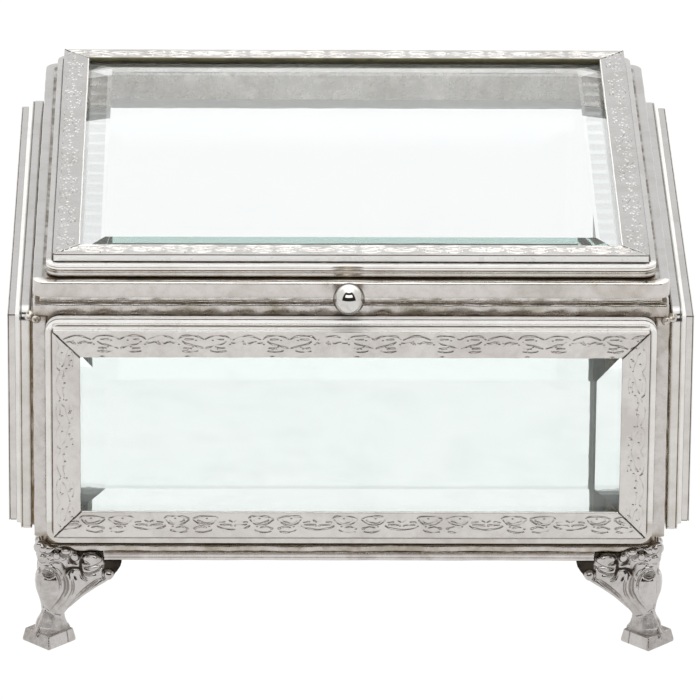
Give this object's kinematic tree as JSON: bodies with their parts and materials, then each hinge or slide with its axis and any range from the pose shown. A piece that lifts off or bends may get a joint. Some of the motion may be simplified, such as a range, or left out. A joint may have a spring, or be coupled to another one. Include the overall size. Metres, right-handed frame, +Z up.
{
  "type": "glass casket box",
  "caption": "Square display casket of bevelled glass in scroll-stamped silver-plated frames, with a mirrored floor, flat hinged lid, ball pull and cast cabriole feet.",
  "frame": {"origin": "on the table, in the middle of the four feet", "axes": "+Z up; the ball pull faces -Y and the hinges are at +Y; +X is to the right seen from the front"},
  "size_m": [0.173, 0.1755, 0.1056],
  "materials": {
    "silver_skeleton": "satin",
    "silver_frames": "satin",
    "silver_strips": "satin",
    "silver_feet": "satin",
    "silver_knob": "polished",
    "hinge_metal": "satin",
    "bevelled_glass": "gloss",
    "mirror_floor": "polished"
  },
  "bodies": {
    "casket": {"bottom_rail": "silver_skeleton", "top_rail": "silver_skeleton", "post_front_left": "silver_skeleton", "post_front_right": "silver_skeleton", "post_back_left": "silver_skeleton", "post_back_right": "silver_skeleton", "base_strip_front": "silver_skeleton", "base_strip_back": "silver_skeleton", "base_strip_left": "silver_skeleton", "base_strip_right": "silver_skeleton", "floor_mirror": "mirror_floor", "front_bead": "silver_frames", "back_bead": "silver_frames", "left_bead": "silver_frames", "right_bead": "silver_frames", "front_glass": "bevelled_glass", "back_glass": "bevelled_glass", "left_glass": "bevelled_glass", "right_glass": "bevelled_glass", "front_strip_top": "silver_strips", "front_strip_bottom": "silver_strips", "front_strip_left": "silver_strips", "front_strip_right": "silver_strips", "back_strip_top": "silver_strips", "back_strip_bottom": "silver_strips", "back_strip_left": "silver_strips", "back_strip_right": "silver_strips", "left_strip_top": "silver_strips", "left_strip_bottom": "silver_strips", "left_strip_left": "silver_strips", "left_strip_right": "silver_strips", "right_strip_top": "silver_strips", "right_strip_bottom": "silver_strips", "right_strip_left": "silver_strips", "right_strip_right": "silver_strips", "foot_front_left": "silver_feet", "foot_front_right": "silver_feet", "foot_back_left": "silver_feet", "foot_back_right": "silver_feet", "hinge_leaf_body_left": "hinge_metal", "hinge_leaf_body_right": "hinge_metal", "hinge_pins": "hinge_metal"},
    "lid": {"lid_rail": "silver_skeleton", "lid_bead": "silver_frames", "lid_strip_front": "silver_strips", "lid_strip_back": "silver_strips", "lid_strip_left": "silver_strips", "lid_strip_right": "silver_strips", "lid_glass": "bevelled_glass", "knob": "silver_knob", "hinge_leaf_lid_left": "hinge_metal", "hinge_leaf_lid_right": "hinge_metal"}
  },
  "joints": [
    {"name": "lid_hinge", "type": "hinge", "parent": "casket", "child": "lid", "pos_m": [0, 0.0816, 0.0948], "axis": [-1, 0, 0], "range_deg": [0, 105]}
  ]
}
